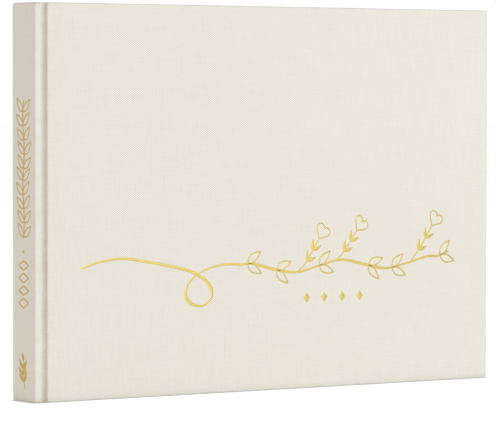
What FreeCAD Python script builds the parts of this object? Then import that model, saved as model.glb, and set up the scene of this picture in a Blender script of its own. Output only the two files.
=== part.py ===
import FreeCAD, Part
import math
import os
import re

import Sketcher

# Case-bound wedding guest book, standing on its tail edge with its spine to the left.
# X runs along the width, spine at -X. The front cover faces -Y. Z is the height, zero at the tail.
# Every layer is named by two distances: "along" from the spine's outer face, and "deep" from the
# outer face of the cover on its own side, front or back.

SIZES = {
    "cover_width": 240.0,            # spine face to fore-edge, cloth included
    "cover_height": 165.5,           # tail to head, cloth included
    "cloth_thickness": 0.4,
    "board_thickness": 2.5,
    "spine_board_thickness": 2.3,    # its long edge makes the ridge beside the joint
    "corner_radius": 0.8,            # cloth-covered corners of the spine
    "turn_in_width": 15.0,           # cloth folded over onto the inside of a board
    "groove_width": 3.0,             # French joint between ridge and board
    "square_overhang": 3.0,          # cover beyond the leaves at head, tail and fore-edge
    "hollow_gap": 0.5,               # free space between the spine panel and the lined back
    "lining_thickness": 0.2,
    "mull_thickness": 0.3,
    "mull_flap_width": 25.0,
    "endpaper_thickness": 0.2,
    "leaf_thickness": 0.2,
    "leaf_gap": 0.02,                # air between two leaves
    "leaves_per_section": 8,
    "section_count": 6,
    "fold_radius": 0.5,              # rounded back of a folded section
    "gutter_width": 4.0,             # strip beside the fold that does not turn
    "bend_reach": 1.2,               # half the strip that bends when a leaf turns
    "thread_diameter": 0.5,
    "sewing_stations": 5,
    "sewing_margin": 26.0,           # first station above the tail of the block
    "headband_bead": 1.6,            # width of the bead on the block
    "headband_rise": 1.3,
    "foil_thickness": 0.05,
    "flourish_start": 22.0,          # along the cover
    "flourish_height": 54.8,         # of its first point above the tail
    "vine_width": 1.1,               # of the pen line and of the spine's stalk
    "stem_width": 0.9,
    "outline_width": 0.68,           # of the line round leaves, hearts and lozenges
    "foil_clearance": 0.25,          # cloth left bare between two strokes
    "front_leaf_length": 8.2,
    "front_leaf_width": 3.4,
    "stem_leaf_length": 5.2,
    "stem_leaf_width": 1.7,
    "heart_width": 7.2,
    "lozenge_count": 4,              # in the row on the cover, and up the spine
    "lozenge_row_start": 139.0,      # along the cover
    "lozenge_row_height": 39.4,
    "lozenge_pitch": 9.7,
    "lozenge_width": 3.4,
    "lozenge_height": 4.6,
    "spine_vine_foot": 67.7,
    "spine_vine_margin": 40.0,       # from its top to the head
    "spine_vine_swing": 0.5,
    "spine_leaf_length": 6.4,
    "spine_leaf_width": 2.5,
    "spine_leaf_pitch": 5.7,
    "spine_dot_radius": 0.8,
    "spine_dot_height": 62.3,
    "spine_lozenge_start": 41.0,
    "spine_lozenge_pitch": 5.2,
    "spine_lozenge_width": 7.8,
    "spine_lozenge_height": 4.0,
    "sprig_foot": 5.0,
    "sprig_height": 12.0,
    "sprig_width": 0.6,
    "sprig_leaf_length": 4.6,
    "sprig_leaf_width": 1.7,
}

# Distances worked out from the sizes.
DERIVED = {
    "ridge_end": "cloth_thickness + spine_board_thickness + cloth_thickness",
    "cover_start": "ridge_end + groove_width",
    "board_start": "cover_start + cloth_thickness",
    "board_inside": "cloth_thickness + board_thickness",
    "turned_inside": "board_inside + cloth_thickness",
    "cover_inside": "turned_inside + endpaper_thickness",
    "flyleaf_outside": "cover_inside + leaf_gap / 2",
    "flyleaf_inside": "flyleaf_outside + endpaper_thickness",
    "block_outside": "cover_inside + endpaper_thickness + leaf_gap",
    "leaf_pitch": "leaf_thickness + leaf_gap",
    "section_pitch": "leaves_per_section * leaf_pitch",
    "block_thickness": "section_count * section_pitch",
    "book_thickness": "block_thickness + 2 * block_outside",
    "lining_start": "ridge_end + hollow_gap",
    "mull_start": "lining_start + lining_thickness",
    "block_back": "mull_start + mull_thickness",
    "gutter_end": "block_back + gutter_width",
    "leaf_start": "gutter_end + 2 * bend_reach",
    "fore_edge": "cover_width - square_overhang",
    "block_tail": "square_overhang",
    "block_head": "cover_height - square_overhang",
    "turn_in_tail": "turn_in_width",
    "turn_in_head": "cover_height - turn_in_width",
}

WORD = re.compile(r"[a-z][a-z_]*")
FRONT, BACK = -1, 1

doc = FreeCAD.newDocument("WeddingGuestBook")
sheet = doc.addObject("Spreadsheet::Sheet", "Sizes")
for row, (alias, number) in enumerate(SIZES.items(), start=1):
    sheet.set(f"A{row}", alias)
    sheet.set(f"B{row}", str(number))
    sheet.setAlias(f"B{row}", alias)
doc.recompute()

nodes = []


def bound(text):
    """The expression with each worked-out distance written out and each size read from the sheet."""
    while any(word in DERIVED for word in WORD.findall(text)):
        text = WORD.sub(lambda m: f"({DERIVED[m[0]]})" if m[0] in DERIVED else m[0], text)
    return WORD.sub(lambda m: f"Sizes.{m[0]}" if m[0] in SIZES else m[0], text)


def mm(text):
    """The present value of an expression."""
    return float(sheet.evalExpression(bound(text)))


def across(side, deep):
    """Y of a depth below the outer face of the front or back cover, as an expression."""
    return f"({side}) * ((book_thickness) / 2 - ({deep}))"


def along(distance):
    """X of a distance from the spine's outer face, as an expression."""
    return f"({distance}) - cover_width / 2"


def plane(body, role):
    return next(o for o in body.Origin.OriginFeatures if o.Role == role)


def outline(body, name, role, offset, points):
    """A closed sketch of straight lines whose corners are all bound to expressions."""
    sketch = body.newObject("Sketcher::SketchObject", name)
    sketch.AttachmentSupport = (plane(body, role), [""])
    sketch.MapMode = "FlatFace"
    sketch.setExpression("AttachmentOffset.Base.z", bound(offset))
    corners = [FreeCAD.Vector(mm(a), mm(b), 0) for a, b in points]
    count = len(corners)
    lines = [Part.LineSegment(corners[i], corners[(i + 1) % count]) for i in range(count)]
    sketch.addGeometry(lines, False)
    for i in range(count):
        sketch.addConstraint(Sketcher.Constraint("Coincident", i, 2, (i + 1) % count, 1))
    for i, texts in enumerate(points):
        for kind, text in zip(("DistanceX", "DistanceY"), texts):
            number = sketch.addConstraint(Sketcher.Constraint(kind, -1, 1, i, 1, mm(text)))
            sketch.renameConstraint(number, f"{kind}{i}")
            sketch.setExpression(f"Constraints.{kind}{i}", bound(text))
    return sketch


def rectangle(start, end, low, high):
    return [(start, low), (end, low), (end, high), (start, high)]


def new_body(label):
    body = doc.addObject("PartDesign::Body", label)
    body.Label = label
    nodes.append(body)
    return body


def layer_sketch(body, name, points, side, shallow, deep):
    """A sketch parallel to the cover at the layer's face nearer the back, and the layer's length."""
    top = across(side, deep if side == FRONT else shallow)
    placed = [(along(a), b) for a, b in points]
    return outline(body, name, "XZ_Plane", f"-({top})", placed), f"({deep}) - ({shallow})"


def add_layer(body, name, points, side, shallow, deep):
    sketch, length = layer_sketch(body, name + "Sketch", points, side, shallow, deep)
    pad = body.newObject("PartDesign::Pad", name)
    pad.Profile = sketch
    pad.setExpression("Length", bound(length))
    doc.recompute()
    return pad


def cut_layer(body, name, points, side, shallow, deep):
    """Take a layer away, and stop if nothing was taken."""
    before = body.Shape.Volume
    sketch, length = layer_sketch(body, name + "Sketch", points, side, shallow, deep)
    pocket = body.newObject("PartDesign::Pocket", name)
    pocket.Profile = sketch
    pocket.Reversed = True
    pocket.setExpression("Length", bound(length))
    doc.recompute()
    if body.Shape.Volume > before - 1e-3:
        raise RuntimeError(f"{body.Label}: {name} cut nothing")
    return pocket


def sheet_body(label, points, side, shallow, deep):
    body = new_body(label)
    add_layer(body, "Sheet", points, side, shallow, deep)
    return body


def strip_body(label, profile, low, high, side):
    """A strip along the spine: its section in the XY plane, carried from low to high."""
    body = new_body(label)
    points = [(along(a), across(side, d)) for a, d in profile]
    sketch = outline(body, "Section", "XY_Plane", low, points)
    pad = body.newObject("PartDesign::Pad", "Run")
    pad.Profile = sketch
    pad.setExpression("Length", bound(f"({high}) - ({low})"))
    doc.recompute()
    return body


def fillet_edges(body, feature, chosen, radius):
    """Round the edges of a feature that the test picks."""
    names = [f"Edge{i + 1}" for i, e in enumerate(feature.Shape.Edges) if chosen(e)]
    fillet = body.newObject("PartDesign::Fillet", "Rounding")
    fillet.Base = (feature, names)
    fillet.Radius = mm(radius)
    fillet.setExpression("Radius", bound(radius))
    doc.recompute()
    return fillet


# Cover: one sheet of cloth glued over the board's face and edges and turned in on three sides.
# The pastedown sinks into the window that the turn-ins leave, and covers the flap of mull.

def cover(word, side):
    board_sides = ("board_start", "cover_width - cloth_thickness",
                   "cloth_thickness", "cover_height - cloth_thickness")
    sheet_body(f"{word}_board", rectangle(*board_sides), side, "cloth_thickness", "board_inside")

    cloth = new_body(f"{word}_cover_cloth")
    add_layer(cloth, "Wrap", rectangle("cover_start", "cover_width", "0", "cover_height"),
              side, "0", "turned_inside")
    cut_layer(cloth, "BoardRoom", rectangle(*board_sides), side, "cloth_thickness", "board_inside")
    cut_layer(cloth, "Window",
              rectangle("cover_start", "cover_width - turn_in_width", "turn_in_tail", "turn_in_head"),
              side, "board_inside", "turned_inside")

    flap_end = "board_start + mull_flap_width"
    sheet_body(f"{word}_mull_flap", rectangle("board_start", flap_end, "turn_in_tail", "turn_in_head"),
               side, "board_inside", "board_inside + mull_thickness")

    pastedown = sheet_body(f"{word}_pastedown",
                           rectangle("board_start", "fore_edge", "block_tail", "block_head"),
                           side, "turned_inside", "cover_inside")
    add_layer(pastedown, "Sunk",
              rectangle(flap_end, "cover_width - turn_in_width", "turn_in_tail", "turn_in_head"),
              side, "board_inside", "turned_inside")
    add_layer(pastedown, "OverMull", rectangle("board_start", flap_end, "turn_in_tail", "turn_in_head"),
              side, "board_inside + mull_thickness", "turned_inside")


# Joint: cloth, mull and endpaper run from the spine to the cover at the bottom of the groove.
# All three flex when the cover opens. The flyleaf is the endpaper's other half, tipped to the block.

def joint_layers(word, side):
    cloth = new_body(f"{word}_joint_cloth")
    groove = ("ridge_end", "cover_start")
    add_layer(cloth, "Bottom", rectangle(*groove, "0", "cover_height"), side,
              "board_inside - cloth_thickness", "board_inside")
    add_layer(cloth, "TailTurnIn", rectangle(*groove, "0", "turn_in_tail"), side,
              "board_inside", "turned_inside")
    add_layer(cloth, "HeadTurnIn", rectangle(*groove, "turn_in_head", "cover_height"), side,
              "board_inside", "turned_inside")

    mull_inside = "board_inside + mull_thickness"
    strip_body(f"{word}_mull_hinge",
               [("mull_start", "block_outside"), ("mull_start", "board_inside"),
                ("board_start", "board_inside"), ("board_start", mull_inside),
                ("block_back", mull_inside), ("block_back", "block_outside")],
               "turn_in_tail", "turn_in_head", side)

    fold = "block_back + endpaper_thickness"
    strip_body(f"{word}_endpaper_hinge",
               [("block_back", "turned_inside"), ("board_start", "turned_inside"),
                ("board_start", "cover_inside"), (fold, "cover_inside"),
                (fold, "flyleaf_inside"), ("block_back", "flyleaf_inside")],
               "block_tail", "block_head", side)

    rows = ("block_tail", "block_head")
    faces = (side, "flyleaf_outside", "flyleaf_inside")
    sheet_body(f"{word}_flyleaf_gutter", rectangle(fold, "gutter_end", *rows), *faces)
    sheet_body(f"{word}_flyleaf_bend", rectangle("gutter_end", "leaf_start", *rows), *faces)
    sheet_body(f"{word}_flyleaf", rectangle("leaf_start", "fore_edge", *rows), *faces)


# Spine: a stiff board in its own cloth. The cloth goes round both long edges, which makes the
# ridges, and down to the bottom of each groove. A hollow is left behind it.

def spine():
    strip_body("spine_board",
               [("cloth_thickness", "cloth_thickness"),
                ("cloth_thickness + spine_board_thickness", "cloth_thickness"),
                ("cloth_thickness + spine_board_thickness", "book_thickness - cloth_thickness"),
                ("cloth_thickness", "book_thickness - cloth_thickness")],
               "cloth_thickness", "cover_height - cloth_thickness", FRONT)

    cloth = new_body("spine_cloth")
    wrap = add_layer(cloth, "Wrap", rectangle("0", "ridge_end", "0", "cover_height"),
                     FRONT, "0", "book_thickness")
    outer = mm(along("0"))
    rounded = fillet_edges(cloth, wrap,
                           lambda e: all(abs(v.X - outer) < 1e-6 for v in e.Vertexes)
                           and abs(e.Vertexes[0].Z - e.Vertexes[1].Z) < 1e-6, "corner_radius")
    cloth.Tip = rounded
    cut_layer(cloth, "BoardRoom",
              rectangle("cloth_thickness", "cloth_thickness + spine_board_thickness",
                        "cloth_thickness", "cover_height - cloth_thickness"),
              FRONT, "cloth_thickness", "book_thickness - cloth_thickness")
    cut_layer(cloth, "Window",
              rectangle("cloth_thickness + spine_board_thickness", "ridge_end",
                        "turn_in_tail", "turn_in_head"),
              FRONT, "board_inside", "book_thickness - board_inside")

    block_sides = (FRONT, "block_outside", "book_thickness - block_outside")
    sheet_body("spine_lining_paper",
               rectangle("lining_start", "mull_start", "turn_in_tail", "turn_in_head"), *block_sides)
    sheet_body("spine_mull",
               rectangle("mull_start", "block_back", "turn_in_tail", "turn_in_head"), *block_sides)


# Headbands: a woven bead on the end of the block, with a tape glued down the back.

def bind_point(sketch, name, line, end, texts):
    """Fix one end of a line to a pair of expressions."""
    for kind, text in zip(("DistanceX", "DistanceY"), texts):
        number = sketch.addConstraint(Sketcher.Constraint(kind, -1, 1, line, end, mm(text)))
        sketch.renameConstraint(number, name + kind)
        sketch.setExpression(f"Constraints.{name}{kind}", bound(text))


def headband(label, end, glued_end, outward):
    """The bead stands on the block's end. Outward is 1 at the head and -1 at the tail."""
    body = new_body(label)
    sketch = body.newObject("Sketcher::SketchObject", "Profile")
    sketch.AttachmentSupport = (plane(body, "XZ_Plane"), [""])
    sketch.MapMode = "FlatFace"
    top = across(FRONT, "book_thickness - block_outside")
    sketch.setExpression("AttachmentOffset.Base.z", bound(f"-({top})"))

    corners = {
        "tape": (along("mull_start"), glued_end),
        "tapeInner": (along("block_back"), glued_end),
        "inner": (along("block_back"), end),
        "foot": (along("mull_start + headband_bead"), end),
        "shoulder": (along("mull_start"), end),
    }
    at = {name: FreeCAD.Vector(mm(a), mm(b), 0) for name, (a, b) in corners.items()}
    ring = [("tape", "tapeInner"), ("tapeInner", "inner"), ("inner", "foot"), ("shoulder", "tape")]
    for first, second in ring:
        sketch.addGeometry(Part.LineSegment(at[first], at[second]), False)

    half_chord = "headband_bead / 2"
    bead_radius = f"(({half_chord}) ^ 2 + headband_rise ^ 2) / (2 * headband_rise)"
    radius = mm(bead_radius)
    centre = at["foot"] - FreeCAD.Vector(mm(half_chord), outward * (radius - mm("headband_rise")), 0)
    begin, finish = (at["foot"], at["shoulder"]) if outward > 0 else (at["shoulder"], at["foot"])
    angles = [math.atan2(v.y - centre.y, v.x - centre.x) for v in (begin, finish)]
    if angles[1] < angles[0]:
        angles[1] += 2 * math.pi
    circle = Part.Circle(centre, FreeCAD.Vector(0, 0, 1), radius)
    sketch.addGeometry(Part.ArcOfCircle(circle, *angles), False)

    foot_end, shoulder_end = (1, 2) if outward > 0 else (2, 1)
    for join in ((0, 2, 1, 1), (1, 2, 2, 1), (2, 2, 4, foot_end), (4, shoulder_end, 3, 1), (3, 2, 0, 1)):
        sketch.addConstraint(Sketcher.Constraint("Coincident", *join))
    number = sketch.addConstraint(Sketcher.Constraint("Radius", 4, radius))
    sketch.renameConstraint(number, "beadRadius")
    sketch.setExpression("Constraints.beadRadius", bound(bead_radius))
    bind_point(sketch, "tape", 0, 1, corners["tape"])
    bind_point(sketch, "tapeInner", 1, 1, corners["tapeInner"])
    bind_point(sketch, "inner", 2, 1, corners["inner"])
    bind_point(sketch, "foot", 2, 2, corners["foot"])
    bind_point(sketch, "shoulder", 3, 1, corners["shoulder"])

    pad = body.newObject("PartDesign::Pad", "Band")
    pad.Profile = sketch
    pad.setExpression("Length", bound("block_thickness"))
    doc.recompute()


# Block: folded sections sewn through the fold. The first section is cut free leaf by leaf, since
# those are the leaves that turn.

def saw_notches(body, shallow, deep):
    """The notches that the sewing thread lies in, all at one pitch up the back."""
    notch = cut_layer(body, "Notch",
                      rectangle("block_back", "block_back + thread_diameter",
                                "block_tail + sewing_margin - thread_diameter / 2",
                                "block_tail + sewing_margin + thread_diameter / 2"),
                      FRONT, shallow, deep)
    row = body.newObject("PartDesign::LinearPattern", "NotchRow")
    row.Originals = [notch]
    row.Direction = (notch.Profile[0], ["V_Axis"])
    row.Occurrences = int(mm("sewing_stations"))
    row.Length = mm("block_head - block_tail - 2 * sewing_margin")
    row.setExpression("Length", bound("block_head - block_tail - 2 * sewing_margin"))
    row.setExpression("Occurrences", bound("sewing_stations"))
    body.Tip = row
    doc.recompute()


def folded_back(label, end, shallow, deep):
    body = new_body(label)
    pad = add_layer(body, "Fold", rectangle("block_back", end, "block_tail", "block_head"),
                    FRONT, shallow, deep)
    back = mm(along("block_back"))
    fillet_edges(body, pad,
                 lambda e: all(abs(v.X - back) < 1e-6 for v in e.Vertexes)
                 and abs(e.Vertexes[0].Z - e.Vertexes[1].Z) > 1.0, "fold_radius")
    saw_notches(body, shallow, deep)


def section_depths(number):
    shallow = f"block_outside + {number - 1} * section_pitch"
    return shallow, f"{shallow} + section_pitch - leaf_gap"


def leaf_depths(number):
    shallow = f"block_outside + {number - 1} * leaf_pitch"
    return shallow, f"{shallow} + leaf_thickness"


def text_block():
    folded_back("signature_01_fold", "gutter_end", *section_depths(1))
    rows = ("block_tail", "block_head")
    strips = []
    for number in range(1, int(mm("leaves_per_section")) + 1):
        shallow, deep = leaf_depths(number)
        sheet_body(f"leaf_{number:02d}", rectangle("leaf_start", "fore_edge", *rows),
                   FRONT, shallow, deep)
        strip = doc.addObject("Part::Box", f"bend_strip_{number:02d}")
        strip.setExpression("Length", bound("2 * bend_reach"))
        strip.setExpression("Width", bound("leaf_thickness"))
        strip.setExpression("Height", bound("block_head - block_tail"))
        strip.setExpression(".Placement.Base.x", bound(along("gutter_end")))
        strip.setExpression(".Placement.Base.y", bound(across(FRONT, shallow)))
        strip.setExpression(".Placement.Base.z", bound("block_tail"))
        strips.append(strip)
    bends = doc.addObject("Part::Compound", "signature_01_bend")
    bends.Label = "signature_01_bend"
    bends.Links = strips
    nodes.append(bends)

    for number in range(2, int(mm("section_count")) + 1):
        folded_back(f"signature_{number:02d}", "fore_edge", *section_depths(number))


def sewing_thread():
    """One run of thread across all the sections at each station, lying in its row of notches."""
    runs = []
    stations = int(mm("sewing_stations"))
    for station in range(stations):
        run = doc.addObject("Part::Cylinder", f"thread_run_{station + 1:02d}")
        run.setExpression("Radius", bound("thread_diameter / 2"))
        run.setExpression("Height", bound("block_thickness - leaf_gap"))
        run.Placement = FreeCAD.Placement(FreeCAD.Vector(),
                                          FreeCAD.Rotation(FreeCAD.Vector(1, 0, 0), -90))
        share = station / (stations - 1)
        run.setExpression(".Placement.Base.x", bound(along("block_back + thread_diameter / 2")))
        run.setExpression(".Placement.Base.y", bound(across(FRONT, "block_outside")))
        run.setExpression(".Placement.Base.z", bound(
            "block_tail + sewing_margin"
            f" + {share} * (block_head - block_tail - 2 * sewing_margin)"))
        runs.append(run)
    thread = doc.addObject("Part::Compound", "sewing_thread")
    thread.Label = "sewing_thread"
    thread.Links = runs
    nodes.append(thread)


# Foil: thin gold ornaments pressed on the cloth. Each one is drawn flat, in mm across and up.

def point(x, y):
    return FreeCAD.Vector(x, y, 0)


def raised(edges):
    return Part.Face(Part.Wire(edges)).extrude(FreeCAD.Vector(0, 0, mm("foil_thickness")))


def pen_curve(stops):
    """A smooth curve through its stops, with a parameter that counts them."""
    curve = Part.BSplineCurve()
    curve.interpolate(Points=[point(*stop) for stop in stops],
                      Parameters=[float(number) for number in range(len(stops))])
    return curve


def aside(curve, place):
    """The unit vector to the left of a curve at a place on it."""
    ahead = curve.tangent(place)[0]
    return point(-ahead.y, ahead.x)


POINTS_PER_STOP = 4


def stroke(curve, first, last, width):
    """A band along a curve from one stop to another, cut square at both ends."""
    count = (last - first) * POINTS_PER_STOP + 1
    places = [first + number / POINTS_PER_STOP for number in range(count)]
    sides = []
    for way in (-1, 1):
        side = Part.BSplineCurve()
        side.interpolate([curve.value(u) + aside(curve, u) * (way * width / 2) for u in places])
        sides.append(side)
    right, left = sides
    return raised([right.toShape(), Part.makeLine(right.EndPoint, left.EndPoint),
                   left.toShape(), Part.makeLine(right.StartPoint, left.StartPoint)])


def fused(shapes):
    """One solid from strokes that cross or meet."""
    return shapes[0].multiFuse(shapes[1:]).removeSplitter()


def set_down(shape, root, degrees):
    """Turns a shape that was drawn along +x from the origin, and moves it to its root."""
    shape.rotate(FreeCAD.Vector(), FreeCAD.Vector(0, 0, 1), degrees)
    shape.translate(root)
    return shape


def leaf_shape(length, width):
    """A pointed leaf between two arcs."""
    edges = [Part.Arc(point(0, 0), point(length / 2, way * width / 2), point(length, 0)).toShape()
             for way in (-1, 1)]
    return raised(edges)


def outlined_leaf(length, width, line):
    """A leaf with a smaller one of the same proportions taken out of its middle."""
    share = 1 - 2 * line / width
    inner = leaf_shape(share * length, share * width)
    inner.translate(point((1 - share) * length / 2, 0))
    return leaf_shape(length, width).cut(inner)


def lozenge_shape(width, height):
    corners = [point(-width / 2, 0), point(0, -height / 2), point(width / 2, 0), point(0, height / 2)]
    return raised([Part.makeLine(corners[i], corners[(i + 1) % 4]) for i in range(4)])


def outlined_lozenge(width, height, line):
    """A frame whose line is centred on a lozenge of this width and height."""
    grown = line / 2 / (width * height / 2 / math.hypot(width, height))
    outer, inner = [lozenge_shape(width * s, height * s) for s in (1 + grown, 1 - grown)]
    return outer.cut(inner)


def heart_shape(width):
    """A heart along +x from its point: an arc up each side, and an arc over each lobe. Its points
    are given as shares of its width."""
    edges = []
    for way in (-1, 1):
        tip, hip = point(0, 0), point(0.33 * width, way * 0.32 * width)
        flank, lobe = point(0.7 * width, way * width / 2), point(0.95 * width, way * 0.3 * width)
        notch = point(0.76 * width, 0)
        edges += [Part.Arc(tip, hip, flank).toShape(), Part.Arc(flank, lobe, notch).toShape()]
    return raised(Part.__sortEdges__(edges))


HEART_INSET = 1.3      # across a heart's slanted side, over the thickness of its line
HEART_MIDDLE = 0.55    # of its width, from its point


def outlined_heart(width, line):
    """A heart with a smaller one taken out of its middle."""
    share = 1 - 2 * HEART_INSET * line / width
    inner = heart_shape(share * width)
    inner.translate(point((1 - share) * HEART_MIDDLE * width, 0))
    return heart_shape(width).cut(inner)


def leaf_pairs(curve, width, places, lean, draw):
    """A pair of leaves at each place on a stroke of some width, leaning off it to both sides."""
    leaves = []
    for place in places:
        ahead = curve.tangent(place)[0]
        heading = math.degrees(math.atan2(ahead.y, ahead.x))
        for way in (-1, 1):
            root = curve.value(place) + aside(curve, place) * way * (width / 2 + mm("foil_clearance"))
            leaves.append(set_down(draw(), root, heading + way * lean))
    return leaves


def foil(label, shapes, placement):
    piece = doc.addObject("Part::Feature", label)
    piece.Label = label
    piece.Shape = shapes[0] if len(shapes) == 1 else Part.makeCompound(shapes)
    piece.Placement = placement
    nodes.append(piece)


# The front's pen line, in mm from its first point: a long wave, a loop that hangs below it, and a
# vine. Three stems grow up from the vine, and each ends in a heart. Places of leaves count stops.
PEN_STOPS = ((0, 0), (9, 2.6), (21, 3.9), (34, 2.2), (45, 0.1), (56, -2.5), (64.6, -7.4), (66.8, -13),
             (63.2, -16.8), (57, -16.6), (53.2, -12.6), (55.4, -6.8), (62.6, -2.2), (72, 0), (88, 0.1),
             (100, -2.8), (112, -4.2), (124, -1.6), (136, 0.6), (148, -1.6), (160, -3.8), (172, -1.8),
             (183, 0.8), (190, 1), (196, 3.2))
LOOP_STOP = 8
STEM_STOPS = (((112, -4.2), (116.5, -0.3), (120, 4.7), (123.4, 9.8)),
              ((133, 0.4), (136.6, 3.6), (140.4, 8.2), (144, 12.8)),
              ((174, -1.4), (178, 3), (182.2, 8.6), (186, 14.2)))
VINE_LEAF_PLACES = (13.9, 15.1, 17.2, 19.3, 20.4, 23.2)
STEM_LEAF_PLACES = (1.2, 2.1)
SPROUT_LEAF_PLACES = (0.9, 1.6, 2.3)
LEAF_LEAN = 45               # degrees off the stem
SPINE_LEAF_LEAN = 55
SPINE_LEAF_START = 0.3       # of the first pair, in pitches above the stalk's foot


def front_foil():
    on_cover = FreeCAD.Placement(
        FreeCAD.Vector(mm(along("0")), mm(across(FRONT, "0")), 0),
        FreeCAD.Rotation(FreeCAD.Vector(1, 0, 0), 90))
    start, level = mm("flourish_start"), mm("flourish_height")
    line, *stems = [pen_curve([(start + x, level + y) for x, y in stops])
                    for stops in (PEN_STOPS, *STEM_STOPS)]
    thick, thin, outline_width = mm("vine_width"), mm("stem_width"), mm("outline_width")
    strokes = [stroke(line, 0, LOOP_STOP, thick), stroke(line, LOOP_STOP, len(PEN_STOPS) - 1, thick)]
    strokes += [stroke(stem, 0, 3, thin) for stem in stems]
    foil("front_foil_vine", [fused(strokes)], on_cover)

    leaves = leaf_pairs(line, thick, VINE_LEAF_PLACES, LEAF_LEAN,
                        lambda: outlined_leaf(mm("front_leaf_length"), mm("front_leaf_width"),
                                              outline_width))
    for stem in stems:
        leaves += leaf_pairs(stem, thin, STEM_LEAF_PLACES, LEAF_LEAN,
                             lambda: leaf_shape(mm("stem_leaf_length"), mm("stem_leaf_width")))
    foil("front_foil_leaves", leaves, on_cover)

    hearts = []
    for stem in stems:
        ahead = stem.tangent(stem.LastParameter)[0]
        hearts.append(set_down(outlined_heart(mm("heart_width"), outline_width),
                               stem.EndPoint + ahead * mm("foil_clearance"),
                               math.degrees(math.atan2(ahead.y, ahead.x))))
    foil("front_foil_hearts", hearts, on_cover)

    row = [set_down(lozenge_shape(mm("lozenge_width"), mm("lozenge_height")),
                    point(mm("lozenge_row_start") + i * mm("lozenge_pitch"), mm("lozenge_row_height")), 0)
           for i in range(int(mm("lozenge_count")))]
    foil("front_foil_lozenges", row, on_cover)


def spine_foil():
    """Drawn up the middle of the spine: across runs from the back cover to the front cover."""
    facing = FreeCAD.Matrix(0, 0, -1, 0, -1, 0, 0, 0, 0, 1, 0, 0, 0, 0, 0, 1)
    on_spine = FreeCAD.Placement(FreeCAD.Vector(mm(along("0")), 0, 0),
                                 FreeCAD.Placement(facing).Rotation)
    foot, top = mm("spine_vine_foot"), mm("cover_height - spine_vine_margin")
    pitch = mm("spine_leaf_pitch")
    pairs = int((top - foot) // pitch)
    swing = mm("spine_vine_swing")
    stalk = pen_curve([(swing * math.sin(i * math.pi / 2), foot + i * pitch) for i in range(pairs + 1)])
    stalk_width, outline_width = mm("vine_width"), mm("outline_width")
    leaves = leaf_pairs(stalk, stalk_width, [i + SPINE_LEAF_START for i in range(pairs)], SPINE_LEAF_LEAN,
                        lambda: outlined_leaf(mm("spine_leaf_length"), mm("spine_leaf_width"),
                                              outline_width))
    foil("spine_foil_vine", [stroke(stalk, 0, pairs, stalk_width)] + leaves, on_spine)

    column = [set_down(outlined_lozenge(mm("spine_lozenge_width"), mm("spine_lozenge_height"),
                                        outline_width),
                       point(0, mm("spine_lozenge_start") + i * mm("spine_lozenge_pitch")), 0)
              for i in range(int(mm("lozenge_count")))]
    column.append(raised([Part.makeCircle(mm("spine_dot_radius"), point(0, mm("spine_dot_height")))]))
    foil("spine_foil_lozenges", column, on_spine)

    low, high = mm("sprig_foot"), mm("sprig_height")
    sprout = pen_curve([(1.2, low), (0.2, low + high / 3), (-0.6, low + high * 2 / 3), (-0.2, low + high)])
    leaf_size = mm("sprig_leaf_length"), mm("sprig_leaf_width")
    sprig = [stroke(sprout, 0, 3, mm("sprig_width"))]
    sprig += leaf_pairs(sprout, mm("sprig_width"), SPROUT_LEAF_PLACES, LEAF_LEAN,
                        lambda: leaf_shape(*leaf_size))
    sprig.append(set_down(leaf_shape(*leaf_size), sprout.EndPoint + point(0, mm("foil_clearance")), 90))
    foil("spine_foil_sprig", sprig, on_spine)


for word, side in (("front", FRONT), ("back", BACK)):
    cover(word, side)
    joint_layers(word, side)
spine()
headband("head_band", "block_head", "turn_in_head", 1)
headband("tail_band", "block_tail", "turn_in_tail", -1)
text_block()
sewing_thread()
front_foil()
spine_foil()
doc.recompute()

# Nothing is written unless every object recomputed and every piece is a sound solid.
for item in doc.Objects:
    if {"Invalid", "Error"} & set(item.State):
        raise RuntimeError(f"{item.Label} did not recompute: {item.State}")
for node in nodes:
    if node.Shape.isNull() or not node.Shape.isValid() or not node.Shape.Solids:
        raise RuntimeError(f"{node.Label} has no valid solid")

os.makedirs("parts", exist_ok=True)
for node in nodes:
    node.Shape.exportStep(os.path.join("parts", node.Label + ".step"))
print(f"{len(nodes)} pieces, {mm('book_thickness'):.2f} mm thick")
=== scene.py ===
import bmesh
import bpy
import numpy as np
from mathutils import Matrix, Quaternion, Vector


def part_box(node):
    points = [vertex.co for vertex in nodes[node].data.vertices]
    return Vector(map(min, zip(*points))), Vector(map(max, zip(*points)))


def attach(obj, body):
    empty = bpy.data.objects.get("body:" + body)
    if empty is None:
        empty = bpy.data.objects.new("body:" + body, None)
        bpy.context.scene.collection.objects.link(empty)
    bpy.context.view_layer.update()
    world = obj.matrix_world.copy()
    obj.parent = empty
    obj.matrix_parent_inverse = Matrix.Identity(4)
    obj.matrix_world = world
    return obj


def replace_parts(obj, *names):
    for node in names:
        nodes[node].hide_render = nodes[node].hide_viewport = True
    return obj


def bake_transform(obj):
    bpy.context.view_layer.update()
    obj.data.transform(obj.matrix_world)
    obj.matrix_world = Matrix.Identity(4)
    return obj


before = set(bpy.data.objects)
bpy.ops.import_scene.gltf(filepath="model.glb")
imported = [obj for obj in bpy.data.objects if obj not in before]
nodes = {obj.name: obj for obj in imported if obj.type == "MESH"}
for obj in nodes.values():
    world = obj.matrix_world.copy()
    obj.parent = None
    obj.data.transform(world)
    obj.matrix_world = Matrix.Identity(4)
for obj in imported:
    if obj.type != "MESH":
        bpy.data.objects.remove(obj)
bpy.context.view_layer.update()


# ---------------------------------------------------------------------------------------------
# View. The closed book stands on its tail edge and is looked at from its spine side, from just
# above its middle and from some way off, so that its upright edges stay nearly parallel.

LOOK_AT = Vector((-0.01231, -0.0090, 0.0752))
VIEW_DISTANCE = 1.5304
VIEW_AZIMUTH = np.radians(-35.40)
VIEW_ELEVATION = np.radians(1.92)
VIEW_ROLL = np.radians(0.07)

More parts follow.
